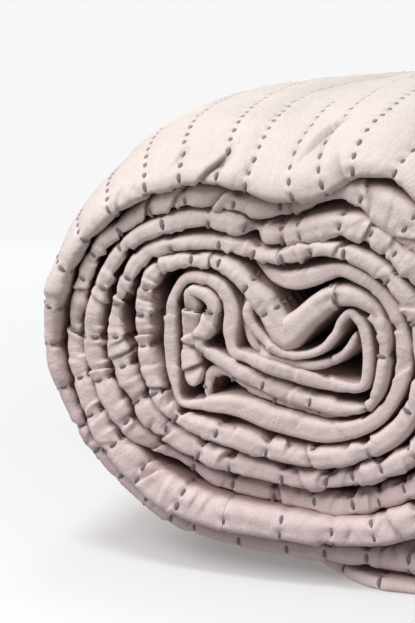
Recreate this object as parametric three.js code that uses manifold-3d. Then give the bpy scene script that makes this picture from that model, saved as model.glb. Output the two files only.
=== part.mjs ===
// A quilted bedspread, folded in four along its length, rolled up and lying on its side.
// The end of the roll that shows the winding faces -Y, and the roll runs along Y.
// Units are millimetres, +Z is up, and the origin is on the floor under the middle of the roll.

import * as THREE from 'three';
import { mergeVertices } from 'three/addons/utils/BufferGeometryUtils.js';
import Module from 'manifold-3d';

const wasm = await Module();
wasm.setup();

// The roll: a quarter of the flat width from end to end, its core this high over the floor
const ROLL_LENGTH = 620;
const CORE_HEIGHT = 118;

// The folded strip: four plies and the air between them, and the plies that part from it
const STRIP_HALF = 6.5;
const PLY_HALF = 5;
const TAIL_PLY_HALF = 3.2;
const LEAST_HALF = 0.9;
const LAYER_GAP = 1.2;
const NEIGHBOUR_STEP = 3;

// The quilting: stitch lines along the roll, and how far they draw the cloth in
const LINE_SPACING = 23;
const CHANNEL_STEPS = { least: 2, more: 3, bend: 0.55 };
const LINE_DRAW = 0.16;
const LINE_SETBACK = 1.5;

// The fold edges at both ends of the roll, how deep behind them each face has its points, and where
// the roll starts to swell behind its ends
const EDGE_SHOULDER = { depth: 3, width: 0.8 };
const FRONT_FACE_DEPTHS = [22, 55, 120];
const BACK_FACE_DEPTHS = [40, 120];
const SWELL_DEPTH = 42;
const SWELL_START = 8;
const FULL_TURN = 2 * Math.PI;
const HOURS_ROUND = 12;
const CURVE_STEPS = 2000;
const AHEAD = 1e-3;

// How far each turn lies from the core at each clock hour, seen from the front end.
// A turn runs clockwise and inwards, and the outermost one comes up from the tail on the floor.
const HOURS = [4, 5, 6, 7, 8, 9, 10, 11, 12, 1, 2, 3];
const TURNS = [
  { name: 'outer', reach: [null, null, 103, 108, 113, 117, 108, 91, 72, 99, 110, 114] },
  { name: 'second', reach: [114, 102, 89, 94, 102, 106, 97, 79, 61, 84, 95, 102] },
  { name: 'third', reach: [100, 87, 75, 78, 89, 94, 87, 65, 50, 67, 80, 89] },
  { name: 'fourth', reach: [87, 73, 63, 66, 76, 81, 77, 54, 39, 53, 67, 76] },
  { name: 'fifth', reach: [74, 61, 51, 53, 62, 66, null, null, null, null, null, null] },
];

// How much wider the roll is behind its drawn-in ends, at the same clock hours
const SWELL = [0.05, 0.03, 0, 0.01, 0.03, 0.05, 0.28, 0.4, 0.55, 0.37, 0.2, 0.07];

// How far each turn's fold edge stands back from the front end
const SETBACKS = [
  { turn: 'outer', left: 2, top: 0, right: 6, bottom: 10 },
  { turn: 'second', left: 7, top: 7, right: 4, bottom: 1 },
  { turn: 'third', left: 4, top: 6, right: 3, bottom: 9 },
  { turn: 'fourth', left: 1, top: 3, right: 1, bottom: 4 },
  { turn: 'fifth', left: 3, top: 6, right: 4, bottom: 2 },
];
const CORE_SETBACK = 6;
const PLAIN_PLY_SETBACK = 9;
const TAIL_PLY_SETBACK = { hidden: { across: -14, depth: 60 }, shown: { across: 26, depth: 4 } };

// The tail of the strip, lying on the floor, from its free end to the outer turn
const TAIL_BENDS = [
  { across: 118, up: -107 },
  { across: 92, up: -107 },
  { across: 60, up: -105 },
  { across: 29, up: -103 },
];

// The strip's bends in the core, past the fifth turn: two lobes with a notch between them
const CORE_BENDS = [
  { place: 'left lobe', across: -67, up: 8 },
  { place: 'left lobe', across: -65, up: 23 },
  { place: 'left lobe', across: -57, up: 35 },
  { place: 'left lobe', across: -42, up: 38 },
  { place: 'left lobe', across: -27, up: 36 },
  { place: 'notch', across: -12, up: 28 },
  { place: 'notch', across: 0, up: 18 },
  { place: 'notch', across: 7, up: 9 },
  { place: 'notch', across: 12, up: 11 },
  { place: 'right lobe', across: 18, up: 19 },
  { place: 'right lobe', across: 28, up: 25 },
  { place: 'right lobe', across: 40, up: 25 },
  { place: 'right lobe', across: 50, up: 19 },
  { place: 'right lobe', across: 56, up: 8 },
  { place: 'right lobe', across: 56, up: -6 },
  { place: 'right lobe', across: 53, up: -19 },
  { place: 'right lobe', across: 44, up: -27 },
  { place: 'underside', across: 30, up: -28 },
  { place: 'underside', across: 14, up: -25 },
  { place: 'underside', across: -3, up: -20 },
  { place: 'underside', across: -19, up: -13 },
  { place: 'inner hook', across: -33, up: -4 },
  { place: 'inner hook', across: -34, up: 6 },
  { place: 'inner hook', across: -31, up: 15 },
  { place: 'inner hook', across: -37, up: 20 },
  { place: 'inner end', across: -43, up: 11 },
  { place: 'inner end', across: -42, up: -3 },
  { place: 'inner end', across: -43, up: -14 },
  { place: 'inner end', across: -39, up: -24 },
];

// The plain ply that lines the core, from its free edge to where it meets the strip under the notch
const PLAIN_PLY_BENDS = [
  { place: 'over the notch', across: -3, up: 33 },
  { place: 'over the notch', across: 7, up: 30 },
  { place: 'over the notch', across: 20, up: 33 },
  { place: 'right lobe', across: 35, up: 38 },
  { place: 'right lobe', across: 50, up: 32 },
  { place: 'right lobe', across: 61, up: 20 },
  { place: 'right lobe', across: 66, up: 3 },
  { place: 'right lobe', across: 63, up: -17 },
  { place: 'right lobe', across: 51, up: -33 },
  { place: 'underside', across: 31, up: -40 },
  { place: 'underside', across: 6, up: -37 },
  { place: 'underside', across: -18, up: -31 },
  { place: 'left lobe', across: -41, up: -32 },
  { place: 'left lobe', across: -50, up: -22 },
  { place: 'left lobe', across: -53, up: -1 },
  { place: 'left lobe', across: -51, up: 16 },
  { place: 'left lobe', across: -45, up: 27 },
  { place: 'left lobe', across: -35, up: 29 },
  { place: 'left lobe', across: -26, up: 25 },
  { place: 'left lobe', across: -21, up: 15 },
  { place: 'inner tip', across: -21, up: 3 },
  { place: 'inner tip', across: -18, up: -5 },
  { place: 'inside the right lobe', across: -8, up: -8 },
  { place: 'inside the right lobe', across: 20, up: -16 },
  { place: 'inside the right lobe', across: 39, up: -17 },
  { place: 'inside the right lobe', across: 47, up: -10 },
  { place: 'inside the right lobe', across: 48, up: 4 },
  { place: 'inside the right lobe', across: 44, up: 13 },
  { place: 'inside the right lobe', across: 36, up: 17 },
  { place: 'under the notch', across: 29, up: 13 },
  { place: 'under the notch', across: 24, up: 3 },
  { place: 'under the notch', across: 16, up: -2 },
  { place: 'under the notch', across: 7, up: -2 },
  { place: 'under the notch', across: -2, up: 5 },
  { place: 'meets the strip', across: -10, up: 14 },
  { place: 'meets the strip', across: -7, up: 24 },
];

// The lowest ply of the tail, flat on the floor under the whole roll
const TAIL_PLY_BENDS = [
  { across: 112, up: -115.6 },
  { across: 60, up: -115.6 },
  { across: 0, up: -115.6 },
  { across: -28, up: -115 },
  { across: -50, up: -95 },
];
const JOIN_LENGTH = 16;

// A curve through bends in the plane of the winding
function windingCurve(bends) {
  const points = bends.map((bend) => new THREE.Vector3(bend.across, 0, bend.up));
  return new THREE.CatmullRomCurve3(points, false, 'centripetal');
}

// The bends of the turns, from the clock hours
function turnBends() {
  const bends = [];
  for (const turn of TURNS) {
    HOURS.forEach((hour, column) => {
      const reach = turn.reach[column];
      if (reach === null) return;
      const angle = (hour / HOURS_ROUND) * FULL_TURN;
      bends.push({ across: reach * Math.sin(angle), up: reach * Math.cos(angle) });
    });
  }
  return bends;
}

// How far along a curve its sections lie: one on every stitch line, and more of them in a channel
// between two lines where it bends more
function sectionPlaces(curve) {
  const length = curve.getLength();
  const places = [];
  for (let line = 0; line + LINE_SPACING < length; line += LINE_SPACING) {
    const shares = [0, 0.5, 1].map((step) => (line + step * LINE_SPACING) / length);
    const tangents = shares.map((share) => curve.getTangentAt(share));
    const bend = tangents[0].angleTo(tangents[1]) + tangents[1].angleTo(tangents[2]);
    const more = Math.min(Math.floor(bend / CHANNEL_STEPS.bend), CHANNEL_STEPS.more);
    const steps = CHANNEL_STEPS.least + more;
    for (let step = 0; step < steps; step += 1) {
      places.push({ along: line + (step / steps) * LINE_SPACING, onLine: step === 0 });
    }
  }
  const start = places.at(-1).along;
  const steps = Math.ceil(((length - start) * CHANNEL_STEPS.least) / LINE_SPACING);
  for (let step = 1; step <= steps; step += 1) {
    places.push({ along: THREE.MathUtils.lerp(start, length, step / steps), onLine: false });
  }
  return places;
}

// Points along a curve, each with the normal to its outer side
function stationsAlong(curve) {
  const length = curve.getLength();
  return sectionPlaces(curve).map(({ along, onLine }) => {
    const share = Math.min(along / length, 1);
    const tangent = curve.getTangentAt(share);
    const normal = new THREE.Vector3(-tangent.z, 0, tangent.x);
    return { point: curve.getPointAt(share), normal, along, onLine };
  });
}

// Points along a curve that other cloth has to clear, short of where it joins the strip
function spacedPoints(curve, joinLength) {
  const points = curve.getSpacedPoints(Math.round(curve.getLength() / NEIGHBOUR_STEP));
  return points.slice(0, points.length - Math.round(joinLength / NEIGHBOUR_STEP));
}

// Half the room beside a station before the cloth would meet the next turn or its own bend
function roomBeside(station, side, neighbours) {
  let room = Infinity;
  for (const neighbour of neighbours) {
    const apart = new THREE.Vector3().subVectors(neighbour, station.point);
    const towards = side * apart.dot(station.normal);
    if (towards > AHEAD) room = Math.min(room, apart.lengthSq() / (2 * towards));
  }
  return room - LAYER_GAP / 2;
}

// The clock hour of a direction, and a value from a row of hours read there
function atClockHour(row, across, up) {
  const hour = (Math.atan2(across, up) / FULL_TURN) * HOURS_ROUND;
  const column = (hour - HOURS[0] + 2 * HOURS_ROUND) % HOURS_ROUND;
  const before = Math.floor(column);
  const blend = (1 - Math.cos((column - before) * Math.PI)) / 2;
  return THREE.MathUtils.lerp(row[before % HOURS_ROUND], row[(before + 1) % HOURS_ROUND], blend);
}

// The roll swells behind its ends, and rests flat on the floor
function placeInRoll(point, along) {
  const depth = Math.max(ROLL_LENGTH / 2 - Math.abs(along) - SWELL_START, 0);
  const swell = 1 + atClockHour(SWELL, point.x, point.z) * (1 - Math.exp(-depth / SWELL_DEPTH));
  const height = CORE_HEIGHT + point.z * swell;
  return new THREE.Vector3(point.x * swell, along, Math.max(height, 0));
}

// One closed section of the folded cloth at a station: the fold edge at each end, and both faces
function sectionAt(station, outer, inner, setback) {
  const front = -ROLL_LENGTH / 2 + setback;
  const back = ROLL_LENGTH / 2;
  const face = [
    { along: front + EDGE_SHOULDER.depth, width: EDGE_SHOULDER.width },
    ...FRONT_FACE_DEPTHS.map((depth) => ({ along: front + depth, width: 1 })),
    ...BACK_FACE_DEPTHS.toReversed().map((depth) => ({ along: back - depth, width: 1 })),
    { along: back - EDGE_SHOULDER.depth, width: EDGE_SHOULDER.width },
  ];
  const lift = (outer - inner) / 2;
  const ring = [
    { along: front, offset: lift },
    ...face.map((row) => ({ along: row.along, offset: outer * row.width })),
    { along: back, offset: lift },
    ...face.toReversed().map((row) => ({ along: row.along, offset: -inner * row.width })),
  ];
  return ring.map((row) => {
    const point = station.point.clone().addScaledVector(station.normal, row.offset);
    return placeInRoll(point, row.along);
  });
}

// A closed solid through a row of sections
function loft(rings) {
  const size = rings[0].length;
  const positions = rings.flat().flatMap((point) => point.toArray());
  const triangles = [];
  for (let row = 0; row + 1 < rings.length; row += 1) {
    for (let column = 0; column < size; column += 1) {
      const here = row * size + column;
      const next = row * size + ((column + 1) % size);
      triangles.push(here, here + size, next, next, here + size, next + size);
    }
  }
  const last = (rings.length - 1) * size;
  for (let column = 0; column < size / 2; column += 1) {
    const [near, ahead] = [column, column + 1];
    const [far, farAhead] = [(size - near) % size, size - ahead];
    for (const [a, b, c] of [[near, ahead, far], [ahead, farAhead, far]]) {
      if (a === b || b === c || a === c) continue;
      triangles.push(a, b, c);
      triangles.push(last + a, last + c, last + b);
    }
  }
  const geometry = new THREE.BufferGeometry();
  geometry.setAttribute('position', new THREE.Float32BufferAttribute(positions, 3));
  geometry.setIndex(triangles);
  return geometry;
}

// Cloth along a curve: it fills its room up to its own thickness, and is drawn in at its stitch lines
function clothAlong(curve, { half, setbackAt, neighbours, quilted, joined }) {
  const length = curve.getLength();
  const stations = stationsAlong(curve);
  const rings = stations.map((station) => {
    const free = !joined || station.along < length - JOIN_LENGTH;
    const [outer, inner] = [1, -1].map((side) => {
      const room = free ? roomBeside(station, side, neighbours) : LEAST_HALF;
      return Math.max(LEAST_HALF, Math.min(half, room));
    });
    const drawn = quilted && station.onLine;
    const draw = drawn ? 1 - LINE_DRAW : 1;
    const setback = setbackAt(station) + (drawn ? LINE_SETBACK : 0);
    return sectionAt(station, outer * draw, inner * draw, setback);
  });
  return loft(rings);
}

// The fold edge's set-back at a station of the strip, from its turn and its side of the roll
function stripSetback(station, turnStarts) {
  const turn = turnStarts.findLastIndex((start) => station.along >= start);
  if (turn < 0) return SETBACKS[0].bottom;
  if (turn >= SETBACKS.length) return CORE_SETBACK;
  const row = SETBACKS[turn];
  const { x, z } = station.point.clone().normalize();
  const across = x < 0 ? row.left : row.right;
  const upright = z < 0 ? row.bottom : row.top;
  return THREE.MathUtils.lerp(across, upright, z * z);
}

// The tail's lowest ply comes forward from under the roll towards its free end
function tailPlySetback(station) {
  const { hidden, shown } = TAIL_PLY_SETBACK;
  const share = THREE.MathUtils.smoothstep(station.point.x, hidden.across, shown.across);
  return THREE.MathUtils.lerp(hidden.depth, shown.depth, share);
}

// The bodies joined into one
function join(geometries) {
  const solids = geometries.map((geometry) => {
    const merged = mergeVertices(geometry);
    const mesh = new wasm.Mesh({
      numProp: 3,
      vertProperties: merged.attributes.position.array,
      triVerts: new Uint32Array(merged.index.array),
    });
    return new wasm.Manifold(mesh);
  });
  const mesh = solids.reduce((whole, solid) => whole.add(solid)).getMesh();
  const geometry = new THREE.BufferGeometry();
  geometry.setAttribute('position', new THREE.Float32BufferAttribute(mesh.vertProperties, 3));
  geometry.setIndex([...mesh.triVerts]);
  return geometry;
}

const bends = turnBends();
const strip = windingCurve([...TAIL_BENDS, ...bends, ...CORE_BENDS]);
const plainPly = windingCurve(PLAIN_PLY_BENDS);
const tailPly = windingCurve(TAIL_PLY_BENDS);
const neighbours = [
  ...spacedPoints(strip, 0),
  ...spacedPoints(plainPly, JOIN_LENGTH),
  ...spacedPoints(tailPly, JOIN_LENGTH),
];

// Where each turn of the strip starts along it
const lengths = strip.getLengths(CURVE_STEPS);
const bendCount = TAIL_BENDS.length + bends.length + CORE_BENDS.length;
const turnStarts = [];
let bendsBefore = TAIL_BENDS.length;
for (const turn of [...TURNS, { reach: [] }]) {
  turnStarts.push(lengths[Math.round((CURVE_STEPS * bendsBefore) / (bendCount - 1))]);
  bendsBefore += turn.reach.filter((reach) => reach !== null).length;
}

const bedspreadGeometry = join([
  clothAlong(strip, {
    half: STRIP_HALF,
    setbackAt: (station) => stripSetback(station, turnStarts),
    neighbours,
    quilted: true,
    joined: false,
  }),
  clothAlong(plainPly, {
    half: PLY_HALF,
    setbackAt: () => PLAIN_PLY_SETBACK,
    neighbours,
    quilted: false,
    joined: true,
  }),
  clothAlong(tailPly, {
    half: TAIL_PLY_HALF,
    setbackAt: tailPlySetback,
    neighbours,
    quilted: true,
    joined: true,
  }),
]);

// The origin goes under the middle of the roll
bedspreadGeometry.computeBoundingBox();
const middle = bedspreadGeometry.boundingBox.getCenter(new THREE.Vector3());
bedspreadGeometry.translate(-middle.x, -middle.y, -bedspreadGeometry.boundingBox.min.z);
bedspreadGeometry.computeVertexNormals();

const quiltedCotton = new THREE.MeshStandardMaterial({ color: 0xd9c8c4, roughness: 0.95, metalness: 0 });
const bedspread = new THREE.Mesh(bedspreadGeometry, quiltedCotton);
bedspread.name = 'bedspread';

const part = new THREE.Group();
part.add(bedspread);

export default part;
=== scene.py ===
import math

import bpy
import numpy as np
from mathutils import Matrix, Vector


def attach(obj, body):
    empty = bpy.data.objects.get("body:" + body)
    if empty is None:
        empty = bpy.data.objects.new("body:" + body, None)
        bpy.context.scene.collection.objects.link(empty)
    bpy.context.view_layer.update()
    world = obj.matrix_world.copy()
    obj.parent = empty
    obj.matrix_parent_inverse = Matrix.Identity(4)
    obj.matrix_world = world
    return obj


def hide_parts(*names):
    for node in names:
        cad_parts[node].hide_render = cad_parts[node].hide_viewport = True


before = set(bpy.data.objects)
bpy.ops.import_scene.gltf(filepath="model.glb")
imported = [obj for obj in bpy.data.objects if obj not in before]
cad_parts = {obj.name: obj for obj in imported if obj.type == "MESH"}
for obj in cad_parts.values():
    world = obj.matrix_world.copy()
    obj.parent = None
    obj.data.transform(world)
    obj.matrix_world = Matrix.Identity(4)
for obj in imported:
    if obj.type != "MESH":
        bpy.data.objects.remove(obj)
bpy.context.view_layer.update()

# The outer turn: the end of the folded spread, from its hem on the floor, under the roll and once round it.
# Wadded, plain-woven cotton, which the lines of running stitches along the roll draw into soft channels.
# The cloth is swept, fold edge to fold edge, along a curve that winds through one bend for each clock hour.
MM = 0.001
ROLL_LENGTH = 620
CORE_ACROSS, CORE_UP = 2.2, 118

# The winding, in millimetres: how far each turn lies from the core by clock hour, how far the cloth reaches
# to its sides at most and at least, and the bends of the tail, across and up from the core
HOURS = (4, 5, 6, 7, 8, 9, 10, 11, 12, 1, 2, 3)
TURNS = {
    "outer": (None, None, 103, 108, 113, 117, 107, 90, 75, 100, 110, 114),
    "second": (114, 102, 89, 94, 102, 106, 97, 79, 61, 84, 95, 102),
    "third": (100, 87, 75, 78, 89, 94, 87, 65, 50, 67, 80, 89),
    "fourth": (87, 73, 63, 66, 76, 81, 77, 54, 39, 53, 67, 76),
    "fifth": (74, 61, 51, 53, 62, 66),
}
TURN_HALF, OUTER_FACE_HALF, THINNEST = 8.5, 6.8, 1.0
TAIL_BENDS = ((118, -107), (92, -107), (60, -105), (29, -103))

# The bends of the strip's core, of the plain ply beside it and of the tail ply: across, up and half thickness
CORE_BENDS = (
    (-67, 8, 6.5), (-65, 23, 6.2), (-57, 35, 6), (-42, 38, 6), (-27, 36, 6), (-12, 28, 6.6), (-1, 17, 8.4),
    (6.5, 4.6, 7), (10.6, 5.6, 7), (19.3, 15.3, 8.4), (30, 23.4, 7.2), (40, 24.6, 5.8), (50, 19, 5.5),
    (56, 8, 5.6), (56.5, -6, 5.4), (54.5, -20, 4.6), (48.5, -27.6, 3.4), (38, -29, 4.4), (28, -27.8, 4.6),
    (14, -25, 4.6), (-3, -20, 4.4), (-19, -13, 4.2), (-36.5, -2, 2.8), (-31.5, 7, 5.5), (-28.5, 17.5, 4.4),
    (-35, 23, 3.2), (-42.5, 23.5, 3), (-43.5, 10, 6), (-43, -3, 6), (-43, -14, 6), (-40, -24, 4.5),
)
PLAIN_PLY_BENDS = (
    (-10, 36, 1.6), (-5, 34, 3.4), (0, 32, 4.6), (9, 30.5, 5), (21, 33, 4.6), (35, 38, 4), (50, 32, 3.8),
    (61, 20, 4), (66, 3, 4.2), (63, -17, 4.8), (51, -33, 5.6), (31, -40, 6), (6, -37, 6), (-18, -31.5, 5.4),
    (-34, -32.5, 4.2), (-47, -33, 1.8), (-51, -22, 3.4), (-53, -1, 3.6), (-51, 16, 3.5), (-44, 28, 3),
    (-35, 29, 3.4), (-26, 25, 4), (-21, 15, 4.8), (-21, 3, 4.8), (-19, -5.5, 2.6), (-8, -8.5, 3.6),
    (20, -16, 3.8), (39, -18.4, 3.2), (47, -17.4, 2.2), (49, -8, 2.8), (48, 4, 3), (44.5, 13, 2.8),
    (39.5, 17, 2.3), (35.5, 13.5, 2.2), (32, 6, 2.3), (26, -1, 2.3), (17, -4.4, 2.2), (7, -4, 2.2),
    (-3, 2, 2.3), (-11, 13, 2.8), (-8, 23, 2.8),
)
TAIL_PLY_BENDS = ((112, -115.6, 3.4), (60, -115.6, 3.4), (0, -115.6, 3.4), (-28, -115, 3.4), (-50, -95, 3))

# By clock hour: how much wider the roll is behind its drawn-in ends, how far each fold edge stands back, how
# deep the outer turn's edge is rounded, how much deeper the inner corner of the other turns is, the share of
# the half thickness that this corner takes up, and how far the edge leans outwards
SWELL = (0.05, 0.03, 0, 0.01, 0.03, 0.06, 0.27, 0.35, 0.42, 0.305, 0.18, 0.07)
SWELL_START, SWELL_DEPTH, SWELL_EASE = 8, 48, 30
SETBACKS = {
    "outer": (12, 12, 13, 15, 9, 2, 1, 0, 0, 1, 3, 5),
    "second": (4, 2, 0, 1, 5, 7, 5, 7, 10, 6, 3, 4),
    "third": (4, 8, 13, 10, 3, 3, 4, 6, 7, 4, 3, 3),
    "fourth": (2, 3, 4, 3, 3, 2, 4, 6, 6, 3, 2, 2),
    "fifth": (3, 1, 0, 0, 2, 3, 4, 4, 4, 4, 4, 4),
}
CORE_SETBACK, BACK_SETBACK = 4, 3
ROUNDING = (7, 6, 6, 6, 9, 13, 18, 21, 22, 20, 16, 12)
INNER_ROUNDING = (2, 4, 5, 3, -0.5, -1.5, -1, 0, 0, 0, 0, 0.5)
INNER_CORNER = (0.62, 0.62, 0.62, 0.52, 0.42, 0.38, 0.42, 0.55, 0.62, 0.62, 0.62, 0.62)
LEAN = (-0.1, -0.25, -0.3, -0.25, -0.1, 0, 0, 0, 0, 0, 0, 0)

# Where each stitch line crosses a turn, by clock hour from 4 to 16, or by bend in the core
STITCH_LINES = {
    "outer": (
        6.35, 6.8, 7.03, 7.3, 7.6, 7.9, 8.15, 8.5, 8.88, 9.2, 9.55, 9.87, 10.25, 10.65, 11, 11.42, 11.75,
        12.2, 12.5, 12.83, 13.2, 13.55, 13.9, 14.25, 14.6, 14.95, 15.3, 15.65,
    ),
    "second": (
        4.05, 4.55, 4.95, 5.35, 5.85, 6.45, 6.98, 7.45, 7.85, 8.2, 8.55, 8.95, 9.5, 9.75, 10.1, 10.5, 10.9,
        11.5, 12.05, 12.5, 13.05, 13.6, 14, 14.4, 14.8, 15.2, 15.6,
    ),
    "third": (
        4.1, 4.5, 4.78, 5.05, 5.5, 6, 6.55, 7.1, 7.55, 7.98, 8.5, 8.95, 9.5, 9.95, 10.5, 11, 11.55, 12.12,
        12.4, 13.02, 13.4, 13.75, 14.2, 14.7, 15.2, 15.7,
    ),
    "fourth": (
        4.1, 4.5, 4.85, 5.2, 5.8, 6.6, 7.07, 7.6, 8.15, 8.6, 8.97, 9.35, 9.7, 10.4, 11, 11.65, 12.2, 12.75,
        13.3, 14, 14.6, 15.2, 15.7,
    ),
    "fifth": (4.45, 5.25, 6, 7, 7.7, 8.15, 8.85),
    "core": (0.15, 1, 2, 3.1, 4, 5.05, 6.1, 10.1, 13.7, 16, 18.5, 20, 21.8, 23.6, 26.8, 28, 29.1),
}
TAIL_LINES = (6, 28, 50, 71, 92, 112)
LINE_SPACING, STITCH_PITCH, MOST_LINES = 23, 8.0, 400

NOISE_CELLS = 64
LATTICE = np.random.default_rng(11).uniform(-1, 1, (NOISE_CELLS, NOISE_CELLS))


def soft_noise(across, along):
    """Smooth noise from -1 to 1, with a wave in about every two units."""
    a, b = np.floor(across).astype(int), np.floor(along).astype(int)
    u, v = (share * share * (3 - 2 * share) for share in (across - a, along - b))
    (a, c), (b, d) = ((cell % NOISE_CELLS, (cell + 1) % NOISE_CELLS) for cell in (a, b))
    low = LATTICE[a, b] * (1 - u) + LATTICE[c, b] * u
    high = LATTICE[a, d] * (1 - u) + LATTICE[c, d] * u
    return low * (1 - v) + high * v


def bell(off, width):
    """A smooth hump, 1 high in its middle."""
    return np.exp(-((off / width) ** 2))


def smoothed(values, width):
    """A row of values, averaged over a width in samples."""
    kernel = np.hanning(2 * width + 3)[1:-1]
    return np.convolve(np.pad(values, width, mode="edge"), kernel / kernel.sum(), mode="valid")


def by_hour(row, across, up):
    """A value from a row of clock hours, at a direction from the core."""
    column = (np.arctan2(across, up) / math.tau * 12 - HOURS[0]) % 12
    before = np.floor(column).astype(int)
    blend = (1 - np.cos((column - before) * math.pi)) / 2
    row = np.array(row, float)
    return row[before % 12] * (1 - blend) + row[(before + 1) % 12] * blend


def in_roll(across, up, along):
    """A place in the winding, swollen behind the roll's ends and flat on the floor, in metres."""
    depth = ROLL_LENGTH / 2 - np.abs(along) - SWELL_START
    depth = (depth + np.sqrt(depth * depth + SWELL_EASE)) / 2
    swell = 1 + by_hour(SWELL, across, up) * (1 - np.exp(-depth / SWELL_DEPTH))
    above_floor = np.maximum(CORE_UP + up * swell, 0)
    return np.stack([CORE_ACROSS + across * swell, along, above_floor], -1) * MM


def winding(bends, step=0.5, per_bend=40):
    """Points every step along a smooth curve through the bends, the outward direction and the half thickness
    at each, and the length along it at each bend."""
    bends = np.array(bends, float)
    bends, halves = bends[:, :2], bends[:, 2]
    knots = np.vstack([2 * bends[0] - bends[1], bends, 2 * bends[-1] - bends[-2]])
    share = np.linspace(0, 1, per_bend, endpoint=False)[:, None]
    dense = []
    for a, b, c, d in zip(knots, knots[1:], knots[2:], knots[3:]):
        ab, bc, cd = (math.sqrt(math.dist(p, q)) for p, q in ((a, b), (b, c), (c, d)))
        leave = ((b - a) / ab - (c - a) / (ab + bc) + (c - b) / bc) * bc
        arrive = ((c - b) / bc - (d - b) / (bc + cd) + (d - c) / cd) * bc
        square = -3 * b + 3 * c - 2 * leave - arrive
        cube = 2 * b - 2 * c + leave + arrive
        dense.append(b + leave * share + square * share**2 + cube * share**3)
    dense = np.vstack([*dense, bends[-1:]])
    lengths = np.concatenate([[0], np.cumsum(np.linalg.norm(np.diff(dense, axis=0), axis=1))])
    length = np.linspace(0, lengths[-1], round(lengths[-1] / step) + 1)
    points = np.stack([np.interp(length, lengths, dense[:, k]) for k in range(2)], 1)
    tangent = np.gradient(points, axis=0)
    tangent /= np.linalg.norm(tangent, axis=1)[:, None]
    outward = np.stack([-tangent[:, 1], tangent[:, 0]], 1)
    bend = lengths[::per_bend]
    half = np.interp(length, bend, halves)
    return {"length": length, "point": points, "outward": outward, "half": half, "bend": bend}


def fit_between(curve, others, gap=1.0, every=4, batch=400, ahead=1e-3):
    """How far the cloth reaches to each side of its curve: its own half, or the room beside it. Found for
    every few points, from a batch at a time of the others that lie ahead."""
    for face, side in (("outer", 1), ("inner", -1)):
        point, outward = curve["point"][::every], curve["outward"][::every] * side
        room = np.full(len(point), np.inf)
        for start in range(0, len(others), batch):
            apart = others[None, start:start + batch] - point[:, None]
            towards = (apart * outward[:, None]).sum(2)
            reach = (apart**2).sum(2) / (2 * np.maximum(towards, ahead))
            room = np.minimum(room, np.where(towards > ahead, reach, np.inf).min(1))
        reach = np.clip(room - gap / 2, THINNEST, curve["half"][::every])
        reach = np.min([np.roll(reach, k) for k in (-2, -1, 0, 1, 2)], axis=0)
        curve[face] = np.interp(curve["length"], curve["length"][::every], smoothed(reach, 3))


bends = [(across, up, TURN_HALF) for across, up in TAIL_BENDS]
turn_start = {}
for turn, reaches in TURNS.items():
    turn_start[turn] = len(bends) - reaches.index(next(r for r in reaches if r))
    for hour, reach in zip(HOURS, reaches):
        if reach:
            angle = hour / 12 * math.tau
            bends.append((reach * math.sin(angle), reach * math.cos(angle), TURN_HALF))
turn_start["core"] = len(bends)
bends += CORE_BENDS
strip = winding(bends)
plain = winding(PLAIN_PLY_BENDS)
tail = winding(TAIL_PLY_BENDS)

# The cloth makes room for every few points of these curves, without the ends that run into the strip itself
EVERY, PLAIN_END, TAIL_END = 5, 170, 32
neighbours = np.vstack(
    [strip["point"][::EVERY], plain["point"][:-PLAIN_END:EVERY], tail["point"][:-TAIL_END:EVERY]]
)


def length_at(turn, hour):
    """How far along the strip an hour of a turn lies, or a bend of the core."""
    column = hour if turn == "core" else (hour - HOURS[0]) % 12
    return np.interp(turn_start[turn] + column, range(len(bends)), strip["bend"])


def line_at(turn, hour):
    """Which stitch line of the strip lies there, with the share of the way to the next."""
    return np.interp(length_at(turn, hour), strip["length"], strip["line"])


def between(first, last):
    """Which points of the strip lie between two places, each a turn and an hour."""
    return (strip["length"] > length_at(*first)) & (strip["length"] < length_at(*last))


def hourly(curve, row):
    """The values along a curve from a row of clock hours."""
    return by_hour(row, *curve["point"].T)


def uneven(curve, most, seed):
    """A value for each channel between two stitch lines, blended from one to the next."""
    values = np.random.default_rng(seed).uniform(-most, most, MOST_LINES)
    return np.interp(curve["line"] - 0.5, range(MOST_LINES), values)


# Where a fold edge is fuller or flatter than its turn: the hour, the half length along the strip, how much
# further its outer and inner faces reach, and how much further back its edge stands
FORMS = {
    "outer": (
        (7.6, 70, 0, -2.5, 2), (11.6, 20, 0, -2, 0), (12.4, 19, 0, 7.5, -1), (1.2, 14, 0, -3, 1),
        (11.2, 22, 0, 1, 0), (9.3, 12, 1, 1, -1), (12, 60, 5, 0, 0),
    ),
    "second": (
        (7.3, 60, 3, 1.5, -1), (5.6, 60, 0, 2, 0), (11.2, 24, 1, 1, -2), (10.2, 14, -2, 1, 1),
        (12.1, 16, -1, 0, 3), (0.6, 14, -1.5, -2.5, 1), (1.6, 20, 2, 4.5, -3), (9.1, 10, -1, -3, 2),
    ),
    "third": (
        (11.7, 4, -4, -3, 8), (11.3, 12, 0, 1.5, 0), (7.2, 22, -5, -2, 4), (12.6, 10, 1, 2, -1),
        (10.9, 10, 0, -1, 1), (8.3, 14, 1, 1, -1),
    ),
    "fourth": ((10.8, 14, -2, 0, 2), (12.5, 5, 1, 1, -1), (9.3, 7, -1, -3, 1), (8.2, 6, -2.5, 0, 1)),
    "fifth": ((8.8, 5, -1, -2, 0), (6.6, 8, -2, 0, 0)),
    "core": (
        (7.5, 9, 5.5, 0, -1), (7.5, 2.5, 0, 2, 0), (28, 22, 0, 0, 3), (26.6, 7, 4, 1, 0),
        (27.6, 6, 3, 0.8, 0), (29, 7, 3.5, 0.8, 0),
    ),
}
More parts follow.
